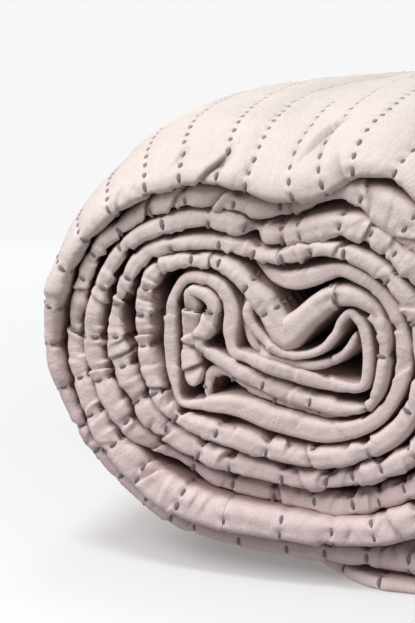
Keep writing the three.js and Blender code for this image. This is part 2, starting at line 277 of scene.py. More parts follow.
# Where the stitches gather the fold edge less: from and to a turn and hour, and how much is left of it
SMOOTH_EDGES = (
    (("second", 4.8), ("second", 7.1), 0.4), (("second", 13.1), ("second", 14.3), 0.3),
    (("third", 11.4), ("third", 13.2), 0.4), (("core", 4.4), ("core", 11), 0.08),
    (("core", 14), ("core", 21), 0.6), (("core", 22), ("core", 30), 0.35),
)
fit_between(strip, neighbours)
places = [*TAIL_LINES, *(length_at(turn, hour) for turn, row in STITCH_LINES.items() for hour in row)]
places = [TAIL_LINES[0] - LINE_SPACING, *places, places[-1] + LINE_SPACING]
strip["line"] = np.interp(strip["length"], places, range(len(places)))
outermost = strip["length"] < length_at("second", 4)
last_folds = strip["length"] > length_at("core", 21.5)
strip["outer"] = smoothed(np.minimum(strip["outer"], np.where(outermost, OUTER_FACE_HALF, TURN_HALF)), 30)
hours = np.interp(strip["length"], strip["bend"], range(len(bends)))
front = np.full(len(hours), float(CORE_SETBACK))
for turn, row in SETBACKS.items():
    here = (hours >= turn_start[turn]) & (hours < turn_start[turn] + 12) & (hours < turn_start["core"])
    front[here] = np.interp(hours[here] - turn_start[turn], range(13), (*row, row[-1]))
front[hours < turn_start["outer"] + 2] = SETBACKS["outer"][2]
strip["front"] = smoothed(front, 40) + uneven(strip, most=1.3, seed=1)
strip["back"] = BACK_SETBACK + uneven(strip, most=2.5, seed=2)
PRESSED = 0.3  # how far each face gives way to its neighbours
for face, seed in (("outer", 7), ("inner", 8)):
    strip[face] += uneven(strip, most=0.7, seed=seed) - PRESSED
for turn, rows in FORMS.items():
    for hour, over, outer, inner, further_back in rows:
        near = bell(strip["length"] - length_at(turn, hour), over)
        for trait, further in (("outer", outer), ("inner", inner), ("front", further_back)):
            strip[trait] += further * near
for face in ("outer", "inner"):
    strip[face] = np.maximum(strip[face], THINNEST)


def in_parts(on_outer, on_last, elsewhere):
    """Values on the outer turn, on the last folds of the core, and on the turns between them."""
    return smoothed(np.where(outermost, on_outer, np.where(last_folds, on_last, elsewhere)), 60)


# The corners of the fold edge, inner and outer: the share of the half thickness that each takes up, and how
# deep it is rounded. The outer turn leans outwards and is gathered less where it is rounded most.
ROUNDED, MOST_LEAN = (8, 18), 0.45
rounding = hourly(strip, ROUNDING)
strip["corner"] = in_parts(0.66, 0.45, hourly(strip, INNER_CORNER)) + uneven(strip, most=0.1, seed=10)
strip["corner_out"] = in_parts(1.0, 0.45, 0.62) + uneven(strip, most=0.1, seed=10)
strip["round"] = np.maximum(5.0 + uneven(strip, most=1.0, seed=3), 0.4 * in_parts(rounding, 0, 0))
strip["round"] += np.where(outermost, 0, hourly(strip, INNER_ROUNDING))
strip["round_out"] = in_parts(rounding, 3.5, 6) + uneven(strip, most=1.0, seed=9)
strip["lift"] = uneven(strip, most=0.5, seed=4)
outer_lean = np.interp(rounding, ROUNDED, (0, MOST_LEAN))
strip["lean"] = smoothed(np.where(outermost, outer_lean, hourly(strip, LEAN)), 40)
strip["gathered"] = np.where(outermost, np.clip(1.2 - rounding / 14, 0.15, 1), 1)
for first, last, share in SMOOTH_EDGES:
    strip["gathered"][between(first, last)] = share
strip["gathered"] = smoothed(strip["gathered"], 30)

# How much of the light its neighbours keep off each face, painted as shade into the cloth's colour: none
# outside the roll or near the free end, and less at the left lobe of the core
FREE_END = (35, 75)
strip["covered_out"] = smoothed(np.where(outermost, 0.0, 1.0), 20)
strip["covered"] = np.interp(strip["length"], FREE_END, (0, 1))
strip["covered"][between(("fifth", 8), ("core", 3))] = 0.35
strip["covered"] = smoothed(strip["covered"], 30)

# The main creases: the hour where each crosses the turn's fold edge, how far over the edge its middle lies,
# its half length, its depth, its half width, how far it slants, and which side of it is steep
CREASES = {
    "outer": (
        (11.35, 6, 13, 3.5, 2.2, 0.5, 1), (9.28, 2, 10, 1.2, 1.6, -0.35, -1),
        (12.42, 30, 12, 3.2, 1.3, 0.4, 1), (10.35, 3, 10, 2.6, 1.2, 0.3, 1), (0.72, 2, 9, 3, 1.6, -0.2, -1),
        (10.55, 3, 10, 2.8, 1.5, -0.5, 1), (11, 16, 9, 1.4, 1.5, 0.6, 1),
    ),
    "second": (
        (10.45, 0, 12, 3, 1.2, 0.4, 1), (12.18, 0, 12, 2, 1.3, 0.1, -1), (11.3, -1, 12, 3.4, 1.4, 0.5, -1),
        (10.8, 1, 9, 2.6, 1.3, 0.7, 1), (1.15, 2, 11, 1.8, 2.2, -0.6, 1), (1.8, 0, 9, 1.8, 1.6, 1.2, 1),
        (8.95, -2, 9, 3.5, 1.2, 0.5, 1), (9.4, 0, 8, 2.2, 1, -0.4, -1), (7.35, -7, 8, 3, 1.4, 0.5, 1),
        (4.75, -2, 12, 3, 1.3, -0.3, 1),
    ),
    "third": (
        (12.2, 0, 10, 2.6, 1.1, 0.1, -1), (8.6, -2, 12, 2.6, 1, 0.1, 1), (9.35, -3, 9, 2.6, 1.1, 0.2, -1),
        (1.35, 0, 9, 1.8, 1, 0.1, 1), (7.55, 0, 8, 2, 1.3, 0.6, 1), (5.9, 0, 9, 3, 1.4, -0.4, 1),
    ),
    "fourth": (
        (12.5, 0, 10, 2.2, 1.1, 0.15, -1), (9.4, -3, 9, 2.6, 1, 0.2, 1), (8.75, -2, 9, 2.2, 1, -0.2, -1),
        (5.45, 2, 10, 3, 1.2, -0.7, 1), (7.6, 4, 8, 2, 1.1, 0.3, 1), (1.2, 3, 8, 1.6, 1.1, 0.2, 1),
    ),
    "fifth": (
        (9, -2, 10, 3.6, 1.2, 0.1, 1), (8.2, -4, 9, 2.4, 1, 0.3, -1), (8.55, -3, 9, 1.8, 1, 0.1, 1),
        (5.3, -3, 9, 2.4, 1.2, -0.4, 1),
    ),
    "core": (
        (0.6, -4, 7, 2, 1.1, 0.1, 1), (2, 0, 10, 2.6, 1.1, 0.2, -1), (3.7, 0, 9, 1.8, 0.9, 0, 1),
        (10.3, 0, 10, 2.4, 1.1, 0.1, 1), (12.2, -2, 9, 2.6, 1.1, 0.4, -1), (19.2, -3, 8, 2, 1, 0.1, 1),
        (26.75, 0, 10, 2.4, 1.4, 0.2, -1), (27.6, 0, 10, 1.4, 1.2, -0.3, -1),
        (29.1, 0, 10, 2.4, 1.4, -0.3, 1), (23.3, 3, 7, 2.4, 1.1, 0.3, 1), (22.2, 2, 8, 2.2, 1.2, -0.3, -1),
        (15.9, 0, 9, 2, 1.2, 0.1, 1),
    ),
}
# The small creases, about the fold edge and on its inner side: the least depth, the mean of what is added to
# it, the most depth, how far over the edge the middle lies and its spread, the half lengths, the half widths,
# the spread of the slant, and whether the stitches' gathers make it
SMALL_CREASES = (
    (0.3, 0.45, 2.0, -1, 6, (4, 9), (0.9, 1.6), 0.35, False),
    (0.4, 0.8, 2.6, -7.5, 1.5, (3.5, 6.5), (1.1, 2.0), 0.25, True),
)


def crease_table(curve, count, seed):
    """The main creases, and small ones between the stitch lines: place along the strip and over the edge,
    half length, depth, half width, slant and steep side."""
    rng = np.random.default_rng(seed)
    rows = []
    if curve is strip:
        rows = [(length_at(turn, hour), *rest) for turn, main in CREASES.items() for hour, *rest in main]
    for line in range(1, int(curve["line"][-1])):
        for least, added, most, middle, spread, reaches, widths, slant, gathers in SMALL_CREASES * count:
            place = np.interp(line + rng.uniform(0.05, 0.95), curve["line"], curve["length"])
            depth = min(least + rng.exponential(added), most)
            if gathers:
                depth *= np.interp(place, curve["length"], curve["gathered"])
            rows.append((place, rng.normal(middle, spread), rng.uniform(*reaches), depth,
                         rng.uniform(*widths), rng.normal(0, slant), rng.choice((-1, 1))))
    return rows


strip["creases"] = crease_table(strip, 2, 5)

# The hollow that a stitch line draws: its half width, and closer in on its steep and gentle sides; where the
# cloth rolls over beside it, and how widely; how far over the edge the cloth is puffed; how far a hollow or a
# crease pushes it at most; and how many half widths and half lengths from its middle a crease still shows
HOLLOW, STEEP_SIDE, GENTLE_SIDE = 4.5, 1.5, 3.0
BESIDE, BESIDE_WIDTH = 3.2, 1.7
PUFF_REACH, MOST_PUSH, CREASE_SPAN, CREASE_FADE = 22, 2.6, 9, 2.5


def relief(curve, along, over, from_back):
    """How far the cloth stands out of its plain fold, and how far it is pushed along the strip, at a length
    along it and a distance over the fold edge, measured from the front edge and from the back one."""
    line = np.interp(along, curve["length"], curve["line"])
    spacing = 1 / np.interp(along, curve["length"], np.gradient(curve["line"], curve["length"]))
    nearest = np.round(line).astype(int)
    draw, side = curve["draw"][nearest], curve["side"][nearest]
    aside = (line - nearest) * spacing * side
    edge = np.minimum(np.abs(over), np.abs(from_back))
    place = np.where(np.abs(over) <= np.abs(from_back), over, ROLL_LENGTH - from_back)
    on_edge = bell(edge, PUFF_REACH)
    beside_edge = np.clip((edge - 3) / 6, 0, 1) * on_edge
    # The channels between the stitch lines, which gather the cloth beside the fold edge
    puff = (1.0 + 0.2 * on_edge) * curve["quilted"]
    notch = (1 + (aside / np.where(aside < 0, STEEP_SIDE, GENTLE_SIDE)) ** 2) ** -1.5
    drawn_in = 0.6 * notch + 0.4 * bell(aside, HOLLOW) - 0.3 * bell(aside + BESIDE, BESIDE_WIDTH)
    gathered = np.interp(along, curve["length"], curve["gathered"])
    gathers = np.where(np.minimum(over, from_back) < 0, 1.8 * gathered, 0.3 + 0.5 * gathered)
    drawn_in *= 0.7 - 0.3 * on_edge + beside_edge * gathers
    height = puff * (0.25 - draw * drawn_in)
    pushed = 0.7 * puff * draw * beside_edge * bell(aside + 2.8, 1.6) * side
    full = curve["full"][np.floor(line).astype(int)]
    height += on_edge * full * np.sin((line % 1) * math.pi) ** 2
    # The cloth's own unevenness, in waves of three sizes
    height += 0.45 * soft_noise(along / 9, place / 11) + 0.1 * soft_noise(along / 3.6 + 9, place / 6)
    height += (1 - on_edge) * 0.9 * soft_noise(along / 26 + 3, place / 45 + 5)
    # The creases: a trough, and on its steep side a bulge that is pushed over it
    for middle, low, reach, depth, width, slant, steep in curve["creases"]:
        for start in (over, from_back):
            near = np.abs(along - middle) < CREASE_SPAN * width + abs(slant) * CREASE_FADE * reach
            near &= np.abs(start - low) < CREASE_FADE * reach
            if near.any():
                off = steep * (along[near] - middle - slant * (start[near] - low)) / width
                fade = depth * bell(start[near] - low, reach)
                trough = np.where(off < 0, bell(off, 1), np.exp(-off / 2.2))
                bulge = bell(off + 1.8, 1)
                height[near] += fade * (0.5 * bulge - trough)
                pushed[near] += steep * 0.75 * fade * bulge
    return height, np.clip(pushed, -MOST_PUSH, MOST_PUSH)


# How far from its ends the strip closes, how far the shape of the fold edge reaches along the roll, and in
# how many steps the length round a corner is measured; for the shade painted into the cloth's colour, from
# where round it, and over what share of it, the neighbours shelter it; and how deep a hollow starts to get
# painted shade, over what depth, and how much at most
END_ROUNDING, EDGE_ZONE, CORNER_STEPS = 6, 40, 12
SHELTER_FROM, SHELTER_OVER = 0.55, 0.7
SHADE_FROM, SHADE_OVER, MOST_SHADE = 0.4, 2.2, 0.7


def cloth(curve, along, over, from_back):
    """Places on the folded cloth, and how much painted shade each gets for how far it is tucked away from the
    light: at a length along the strip, and over the front fold edge or the back one. Plus is the outer face
    and minus the inner one."""

    def read(name):
        return np.interp(along, curve["length"], curve[name])

    def read_face(name):
        return np.where(place > 0, read(name + "_out"), read(name))

    end = np.minimum(along, curve["length"][-1] - along) / END_ROUNDING
    close = np.sqrt(np.clip(1 - (1 - np.clip(end, 0, 1)) ** 2, 0.01, 1))
    outer, inner = read("outer") * close, read("inner") * close
    at_front = np.abs(over) <= np.abs(from_back)
    place = np.where(at_front, over, from_back)
    half = (outer + inner) / 2
    lean = read("lean") * half
    middle, half = (outer - inner) / 2 + read("lift") - lean, half + np.where(place > 0, lean, -lean)
    deep, corner = read_face("round"), half * read_face("corner")
    flat = half - corner
    past = np.abs(place) - flat
    # How far round its corner, a quarter of an ellipse, each place lies
    turns = np.linspace(0, math.pi / 2, CORNER_STEPS + 1)
    speed = np.hypot(deep[:, None] * np.sin(turns), corner[:, None] * np.cos(turns))
    run = np.cumsum((speed[:, 1:] + speed[:, :-1]) / 2 * turns[1], axis=1)
    run = np.hstack([np.zeros((len(run), 1)), run])
    arc, row = run[:, -1], np.arange(len(run))
    step = np.clip((run < past[:, None]).sum(axis=1) - 1, 0, CORNER_STEPS - 1)
    share = np.clip((past - run[row, step]) / (run[row, step + 1] - run[row, step]), 0, 1)
    turn = (step + share) * turns[1]
    depth = deep * (1 - np.cos(turn)) + np.maximum(past - arc, 0)
    stand, pushed = relief(curve, along, over, from_back)
    stand = stand * close
    setback = np.where(at_front, read("front"), read("back"))
    # The edge's shape fades out towards the middle of the roll, where the two faces' rows meet
    to_middle = np.clip((np.abs(place) - EDGE_ZONE) / (ROLL_LENGTH / 2 - EDGE_ZONE), 0, 1)
    depth = depth + setback - (setback + deep - flat - arc) * to_middle - stand * np.cos(turn)
    offset = middle + np.sign(place) * (np.minimum(np.abs(place), flat) + (corner + stand) * np.sin(turn))
    y = np.where(at_front, depth - ROLL_LENGTH / 2, ROLL_LENGTH / 2 - depth)
    along = along + pushed * close
    across, up = (
        np.interp(along, curve["length"], curve["point"][:, k])
        + offset * np.interp(along, curve["length"], curve["outward"][:, k])
        for k in range(2)
    )
    # The painted shade in the cloth's colour: where the neighbours shelter a face, and in the hollows of its
    # relief
    painted_shade_by_neighbours = np.clip((past - SHELTER_FROM * arc) / (SHELTER_OVER * arc), 0, 1) * read_face("covered")
    painted_shade_in_hollows = MOST_SHADE * np.clip((-stand - SHADE_FROM) / SHADE_OVER, 0, 1)
    return in_roll(across, up, y), np.maximum(painted_shade_by_neighbours, painted_shade_in_hollows)


# The mesh: how far columns are drawn to the stitch lines and how near to a cut they come, in shares of a
# channel, and the rows over the rounded part of the fold edges and beside it
CROWDED, NEAR_CUT = 0.08, 0.02
FRONT_EDGE_ROWS, BACK_EDGE_ROWS = np.linspace(-16, 16, 23), np.linspace(16, -16, 13)
FRONT_INNER_ROWS, BACK_ROWS = (-70, -40, -28, -22, -18.5), (70, 40, 24)


def cloth_part(curve, first, last, columns, face_rows, under_rows=()):
    """Points, faces, two sets of flat places and the shares of painted shade for the folded cloth between two
    stitch lines. Columns are close to each line and rows to each fold edge. More rows are given for the outer
    face, and for the inner one where it shows."""
    steps = np.arange(columns) / columns
    steps -= CROWDED * np.sin(steps * math.tau)
    lines = (np.arange(math.floor(first), math.ceil(last))[:, None] + steps).ravel()
    lines = lines[(lines > first + NEAR_CUT) & (lines < last - NEAR_CUT)]
    lines = np.concatenate([[first], lines, [last]])
    along = np.interp(lines, curve["line"], curve["length"])
    under = -np.array(under_rows, float)
    shown = np.concatenate([under[::-1], FRONT_INNER_ROWS, FRONT_EDGE_ROWS, face_rows])
    back = np.concatenate([BACK_ROWS, BACK_EDGE_ROWS, np.negative(BACK_ROWS[::-1]), under[:-1]])
    over = np.concatenate([shown, ROLL_LENGTH - np.abs(back)])
    from_back = np.concatenate([np.where(shown < 0, -1, 1) * (ROLL_LENGTH - np.abs(shown)), back])
    count, rows = len(along), len(over)
    grids = np.broadcast_arrays(along[:, None], over, from_back)
    along_grid, over_grid, back_grid = (grid.ravel() for grid in grids)
    points, painted_shade = cloth(curve, along_grid, over_grid, back_grid)
    ring = np.arange(rows)
    quads = np.stack([ring, ring + rows, np.roll(ring, -1) + rows, np.roll(ring, -1)], 1)
    faces = (quads[None] + rows * np.arange(count - 1)[:, None, None]).reshape(-1, 4).tolist()
    faces += [ring.tolist(), (ring[::-1] + rows * (count - 1)).tolist()]
    phase = curve["phase"][np.round(lines).astype(int)][:, None] + over / STITCH_PITCH
    flat = np.stack([along_grid, over_grid], 1) * MM
    stitching = np.stack([np.repeat(lines, rows), phase.ravel()], 1)
    return points, faces, flat, stitching, painted_shade


def new_object(name, data):
    """An object in the scene, from its data."""
    made = bpy.data.objects.new(name, data)
    bpy.context.collection.objects.link(made)
    return made


def cloth_object(name, material, fill, *parts):
    """One piece of the roll from parts of folded cloth, with its material, flat places and painted shade."""
    points, faces, flat, stitching, painted_shade = zip(*parts)
    starts = np.cumsum([0, *(len(p) for p in points)]).tolist()
    faces = [[start + corner for corner in face] for start, part in zip(starts, faces) for face in part]
    mesh = bpy.data.meshes.new(name)
    mesh.from_pydata(np.vstack(points).tolist(), [], faces)
    corner = np.zeros(len(mesh.loops), int)
    mesh.loops.foreach_get("vertex_index", corner)
    for map_name, places in (("cloth", flat), ("stitching", stitching)):
        mesh.uv_layers.new(name=map_name).uv.foreach_set("vector", np.vstack(places)[corner].ravel())
    # The shade painted into the cloth's colour, read by its material
    mesh.attributes.new("painted_shade", "FLOAT", "POINT").data.foreach_set("value", np.concatenate(painted_shade))
    mesh.shade_smooth()
    mesh.materials.append(material)
    piece = new_object(name, mesh)
    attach(piece, "root")
    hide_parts("bedspread")


def feed(socket, value):
    """Link a node's socket to another one, or give it a value."""
    if isinstance(value, bpy.types.NodeSocket):
        socket.id_data.links.new(value, socket)
    else:
        socket.default_value = value


def set_up(made, **values):
    """A node with its settings, and with values or links for its sockets."""
    for key, value in values.items():
        socket = key.replace("_", " ")
        if socket in made.inputs:
            feed(made.inputs[socket], value)
        else:
            setattr(made, key, value)
    return made


def node(tree, kind, **values):
    """A new node of a tree, set up."""
    return set_up(tree.nodes.new(kind), **values)


def new_material(name):
    """A material, its tree of nodes and its shader."""
    material = bpy.data.materials.new(name)
    material.use_nodes = True
    return material, material.node_tree, material.node_tree.nodes["Principled BSDF"]


def calc(operation, *values):
    """A sum or other operation, on sockets of one tree and plain numbers."""
    tree = next(value.id_data for value in values if isinstance(value, bpy.types.NodeSocket))
    made = node(tree, "ShaderNodeMath", operation=operation)
    for socket, value in zip(made.inputs, values):
        feed(socket, value)
    return made.outputs[0]


def noise(vector, scale, detail):
    """Noise at a scale, on some coordinates."""
    made = node(vector.id_data, "ShaderNodeTexNoise", Vector=vector, Scale=scale, Detail=detail)
    return made.outputs["Fac"]


def ramp(factor, *stops):
    """Colours blended by a factor, from stops with a place and a colour each."""
    made = node(factor.id_data, "ShaderNodeValToRGB", Fac=factor)
    for _ in stops[2:]:
        made.color_ramp.elements.new(0.5)
    for element, (place, colour) in zip(made.color_ramp.elements, stops):
        element.position, element.color = place, (*colour, 1)
    return made.outputs["Color"]


def mix(way, factor, colour, other):
    """A colour's socket and another colour, mixed by a factor."""
    made = node(colour.id_data, "ShaderNodeMix", data_type="RGBA", blend_type=way)
    for place, value in ((0, factor), (6, colour), (7, other)):
        feed(made.inputs[place], value)
    return made.outputs[2]


weave = bpy.data.node_groups.new("blush_cotton", "ShaderNodeTree")
for name, in_out, kind in (
    ("Pucker", "INPUT", "Float"), ("Color", "OUTPUT", "Color"), ("Height", "OUTPUT", "Float"),
):
    weave.interface.new_socket(name, in_out=in_out, socket_type="NodeSocket" + kind)
given = weave.nodes.new("NodeGroupInput").outputs

# The cotton's colour: a mottled tone, with a painted cast of light from pink at the floor to beige at the
# top, and painted shade where it is tucked away from the light
solid = node(weave, "ShaderNodeTexCoord").outputs["Object"]
mottle = calc("MULTIPLY", noise(solid, 800, 2), 0.55)
mottle = calc("MULTIPLY_ADD", noise(solid, 28, 4), 0.45, mottle)
tone = ramp(mottle, (0.3, (0.647, 0.547, 0.527)), (0.7, (0.77, 0.661, 0.639)))
# Painted light: the colour's cast changes with height, pinker low down and a paler beige at the top
above_floor = node(weave, "ShaderNodeSeparateXYZ", Vector=solid).outputs["Z"]
painted_light_cast = ramp(
    above_floor, (0.03, (0.992, 0.943, 0.98)), (0.085, (0.975, 0.943, 0.957)), (0.23, (0.95, 0.97, 0.95))
)
tone_in_painted_light = mix("MULTIPLY", 1.0, tone, painted_light_cast)
# Painted shade: the colour is darkened where the cloth is tucked away from the light
painted_shade_share = node(weave, "ShaderNodeAttribute", attribute_name="painted_shade").outputs["Fac"]
colour_with_painted_shade = mix("MULTIPLY", painted_shade_share, tone_in_painted_light, (0.54, 0.435, 0.42, 1))

# The cotton's height, in metres: the weave, two sizes of crinkles, and the pucker at each stitch
height = calc("MULTIPLY", noise(solid, 900, 2), 0.0003)
height = calc("MULTIPLY_ADD", noise(solid, 190, 3), 0.0005, height)
flat_place = node(weave, "ShaderNodeUVMap", uv_map="cloth").outputs["UV"]
for across, along, wide, deep in ((190, 80, 0.1, 0.0012), (62, 30, 0.05, 0.0025)):
    drawn = node(weave, "ShaderNodeMapping", Vector=flat_place, Scale=(across, along, 1))
    fold = calc("SUBTRACT", noise(drawn.outputs["Vector"], 1.0, 2), 0.5)
    fold = calc("MINIMUM", calc("ABSOLUTE", fold), wide)
    height = calc("MULTIPLY_ADD", fold, deep, height)
sewn_place = node(weave, "ShaderNodeUVMap", uv_map="stitching").outputs["UV"]
sewn_place = node(weave, "ShaderNodeSeparateXYZ", Vector=sewn_place).outputs
off_line = calc("SUBTRACT", sewn_place["X"], calc("ROUND", sewn_place["X"]))
near_line = calc("MULTIPLY", calc("MULTIPLY", off_line, off_line), -90.0)
wave = calc("COSINE", calc("MULTIPLY", sewn_place["Y"], math.tau))
pucker = calc("MULTIPLY", calc("EXPONENT", near_line), wave)
pucker = calc("MULTIPLY", pucker, given["Pucker"])
node(weave, "NodeGroupOutput", Color=colour_with_painted_shade, Height=calc("SUBTRACT", height, pucker))


def cotton(name, pucker):
    """Matte blush cotton, drawn in by each stitch to a depth."""
    material, tree, shader = new_material(name)
    woven = node(tree, "ShaderNodeGroup", node_tree=weave, Pucker=pucker).outputs
    bump = node(tree, "ShaderNodeBump", Strength=0.8, Distance=1.0, Height=woven["Height"])
    set_up(
        shader, Base_Color=woven["Color"], Roughness=0.92, Specular_IOR_Level=0.1, Sheen_Weight=0.08,
        Sheen_Roughness=0.5, Normal=bump.outputs["Normal"],
    )
    return material


def finish_curve(curve, quilted, seed):
    """What every ply has for each stitch line or channel: how deep it is drawn in and which side of it is
    steep, how full the cloth is between, and where the stitches start."""
    rng = np.random.default_rng(seed)
    curve["quilted"] = quilted
    curve["draw"] = rng.uniform(0.5, 1.5, MOST_LINES)
    curve["side"] = rng.choice((-1, 1), MOST_LINES)
    curve["full"] = rng.uniform(-0.3, 0.8, MOST_LINES) * quilted
    curve["phase"] = rng.uniform(-0.3, 0.3, MOST_LINES)


finish_curve(strip, 1.0, 6)
for first, last, share in SMOOTH_EDGES:
    strip["draw"][math.ceil(line_at(*first)):math.floor(line_at(*last)) + 1] *= 0.4 + 0.6 * share
quilted_cotton = cotton("quilted_cotton", 0.6 * MM)
outer_end, middle_end = round(line_at("second", 6.4)), round(line_at("fourth", 5))
last_line = strip["line"][-1]
WADDED, THIN = 0.35, 0.2  # how full the cloth is of wadding
long_rows = np.concatenate([np.arange(18.5, 60, 3.5), np.arange(63, 210, 7), np.arange(216, 545, 12)])
outer_part = cloth_part(strip, strip["line"][0], outer_end, 16, long_rows, under_rows=(110, 160, 230, 305))
cloth_object("outer_turn", quilted_cotton, WADDED, outer_part)

# The middle turns: the second, third and fourth turns of the folded spread, wound inside the outer one.
# The same wadded cotton. Only the fold edges show, at the two ends of the roll, so the rows are close there.
short_rows = np.array((18.5, 21.5, 26, 33, 45, 70, 160, 310, 480))
middle_part = cloth_part(strip, outer_end, middle_end, 28, short_rows)
cloth_object("middle_turns", quilted_cotton, WADDED, middle_part)

# The inner turns: the spread's other end, wound tight, pressed into a notch from above and doubled over.
# The same wadded cotton, with its hem turned in under the last fold.
HEM_BENDS = (
    (-33, -32, 3), (-34, -24, 4), (-31.5, -16, 4.4), (-25, -13.5, 4.4), (-17, -18.5, 3.6), (-4, -24.5, 3.2),
    (11, -29, 3), (25, -32, 2.8), (37, -33, 2.4),
)


def finish_ply(ply, seed, creases, quilted, lift=0.3, **traits):
    """Give a ply its traits along its length, the same on both faces unless said, and its own unevenness,
    creases and stitches."""
    for name, value in traits.items():
        ply[name] = value + np.zeros(len(ply["length"]))
    for name in ("round", "corner", "covered"):
        ply.setdefault(name + "_out", ply[name])
    ply["front"] += uneven(ply, most=1.0, seed=seed)
    ply["back"] += uneven(ply, most=2.0, seed=seed + 1)
    ply["lift"] = uneven(ply, most=lift, seed=seed + 2)
    ply["creases"] = crease_table(ply, creases, seed + 3)
    finish_curve(ply, quilted, seed + 4)


hem = winding(HEM_BENDS)
fit_between(hem, np.vstack([strip["point"][::EVERY], plain["point"][::EVERY]]))
finish_ply(
    hem, seed=41, creases=3, quilted=0.8, line=0.65 + hem["length"] / LINE_SPACING, front=8, back=6,
    round=4.0, corner=0.7, gathered=1.0, covered=1.0, lean=0,
)
inner_part = cloth_part(strip, middle_end, last_line, 24, short_rows)
hem_part = cloth_part(hem, hem["line"][0], hem["line"][-1], 20, short_rows)
cloth_object("inner_turns", quilted_cotton, WADDED, inner_part, hem_part)

# The plain ply: the spread's smooth underside, parted from the strip and bent round both lobes of the core,
# with a second fold under the notch. Plain cotton with no stitches, from a free edge over the notch to where
# it meets the strip under it.
UNDER_PLY_BENDS = (
    (-15, 21, 2.6), (-14, 9, 2.8), (-11, 0, 2.6), (-5, -5, 2.4), (3, -7.4, 2.3), (12, -9, 2.2),
    (22, -9.6, 2.2), (32, -6, 2.2), (39, 1, 2), (42, 8, 1.6),
)
under = winding(UNDER_PLY_BENDS)
fit_between(plain, neighbours)
under["outer"] = under["inner"] = under["half"]
plain_cotton = cotton("plain_cotton", 0.0)
PLAIN_ROUNDING, ROUNDED_SHARE = 2.6, 0.8
FREE_EDGE_BACK, FREE_EDGE_REACH = 9, 14
plain_parts = []
for ply, setback, seed in ((plain, 5, 21), (under, 8, 51)):
    deeper_in = ROUNDED_SHARE * hourly(ply, INNER_ROUNDING)
    free_edge = FREE_EDGE_BACK * np.exp(-ply["length"] / FREE_EDGE_REACH)
    finish_ply(
        ply, seed, creases=1, quilted=0.0, line=1 + ply["length"] / LINE_SPACING,
        front=setback + free_edge - deeper_in, back=6, round=PLAIN_ROUNDING + deeper_in,
        round_out=PLAIN_ROUNDING, corner=0.5, gathered=0.5, covered=0.6, lean=hourly(ply, LEAN),
    )
    plain_parts.append(cloth_part(ply, ply["line"][0], ply["line"][-1], 16, short_rows))
cloth_object("plain_ply", plain_cotton, THIN, *plain_parts)

# The tail ply: the lowest ply of the folded end, flat on the floor under the whole roll.
# The same wadded cotton, pressed thin, coming forward from under the roll towards its free end.
fit_between(tail, neighbours)
# Where across the roll it starts to come forward, over what width, from how far back and how far
FORWARD_FROM, FORWARD_OVER, HIDDEN_BACK, FORWARD = -15, 75, 60, 50
forward = np.clip((tail["point"][:, 0] - FORWARD_FROM) / FORWARD_OVER, 0, 1)
finish_ply(
    tail, seed=31, creases=1, quilted=0.6, lift=0.0, line=0.5 + tail["length"] / LINE_SPACING,
    front=HIDDEN_BACK - FORWARD * forward * forward * (3 - 2 * forward), back=4, round=4.0, corner=0.8,
    gathered=0.3, covered=np.interp(tail["length"], FREE_END, (0, 1)), lean=0,
)
UPPER_SIDE, STAGGER = 0.26, 0.1  # its stitches lie on the upper side of its edge, clear of the floor
tail["phase"] = UPPER_SIDE + STAGGER * tail["phase"]
tail_part = cloth_part(tail, tail["line"][0], tail["line"][-1], 16, short_rows)
cloth_object("tail_ply", quilted_cotton, THIN, tail_part)

# The running stitches: long stitches of thick dark thread, one every few millimetres along each line. Each
# lies in the hollow that it draws in the cloth. A tree of nodes bends one thread and sets it on every point.
thread, fibres, thread_shader = new_material("stitching_thread")
strand = noise(node(fibres, "ShaderNodeTexCoord").outputs["Object"], 700, 2)
thread_tone = ramp(strand, (0, (0.125, 0.102, 0.11)), (1, (0.26, 0.215, 0.228)))
# Painted highlight: the thread's tone is mixed towards a pale colour, by a share given to each stitch
painted_pale_share = node(fibres, "ShaderNodeAttribute", attribute_name="painted_pale").outputs["Fac"]
thread_with_painted_pale = mix("MIX", painted_pale_share, thread_tone, (0.66, 0.555, 0.53, 1))
set_up(thread_shader, Base_Color=thread_with_painted_pale, Roughness=0.8, Sheen_Weight=0.8, Sheen_Roughness=0.4)

# Over the roll's face the stitches sink in, and their thread is painted paler, a painted highlight: from and
# to a distance over the fold edge, and how much there
SINKING, SUNK = (20, 80), 0.4
PAINTED_PALE_OVER, MOST_PAINTED_PALE = (10, 100), 0.5


def stitches_on(curve, lines, low, high, at_back=False):
    """The middle of each stitch on some lines, between two distances over a fold edge, with the way out of
    the cloth, the way along the line, and how much its thread is painted paler, a painted highlight."""
    along, over = [], []
    for line in lines:
        phase = curve["phase"][line]
        first, last = math.ceil(low / STITCH_PITCH + phase), math.floor(high / STITCH_PITCH + phase)
        over += [(stitch - phase) * STITCH_PITCH for stitch in range(first, last + 1)]
        along += [np.interp(line, curve["line"], curve["length"])] * (last + 1 - first)
    along, over = np.array(along), np.array(over)

    def place(forward, onward):
        reach = over + onward
        rest = ROLL_LENGTH - np.abs(reach)
        return cloth(curve, along + forward, *((rest, reach) if at_back else (reach, rest)))[0]

    step, side_step = 1.5, 3.0
    ways = place(0, step) - place(0, -step)
    ways /= np.linalg.norm(ways, axis=1)[:, None]
    beside = place(side_step, 0) - place(-side_step, 0)
    out = np.cross(ways, beside) if at_back else np.cross(beside, ways)
    out /= np.linalg.norm(out, axis=1)[:, None]
    sunk = np.interp(over, SINKING, (0, SUNK * MM))[:, None]
    painted_pale = np.interp(over, PAINTED_PALE_OVER, (0, MOST_PAINTED_PALE))[:, None]
    return place(0, 0) - out * sunk, out, ways, painted_pale


first_shown, last_shown = math.ceil(line_at("outer", 6.2)), math.floor(line_at("second", 5.2))
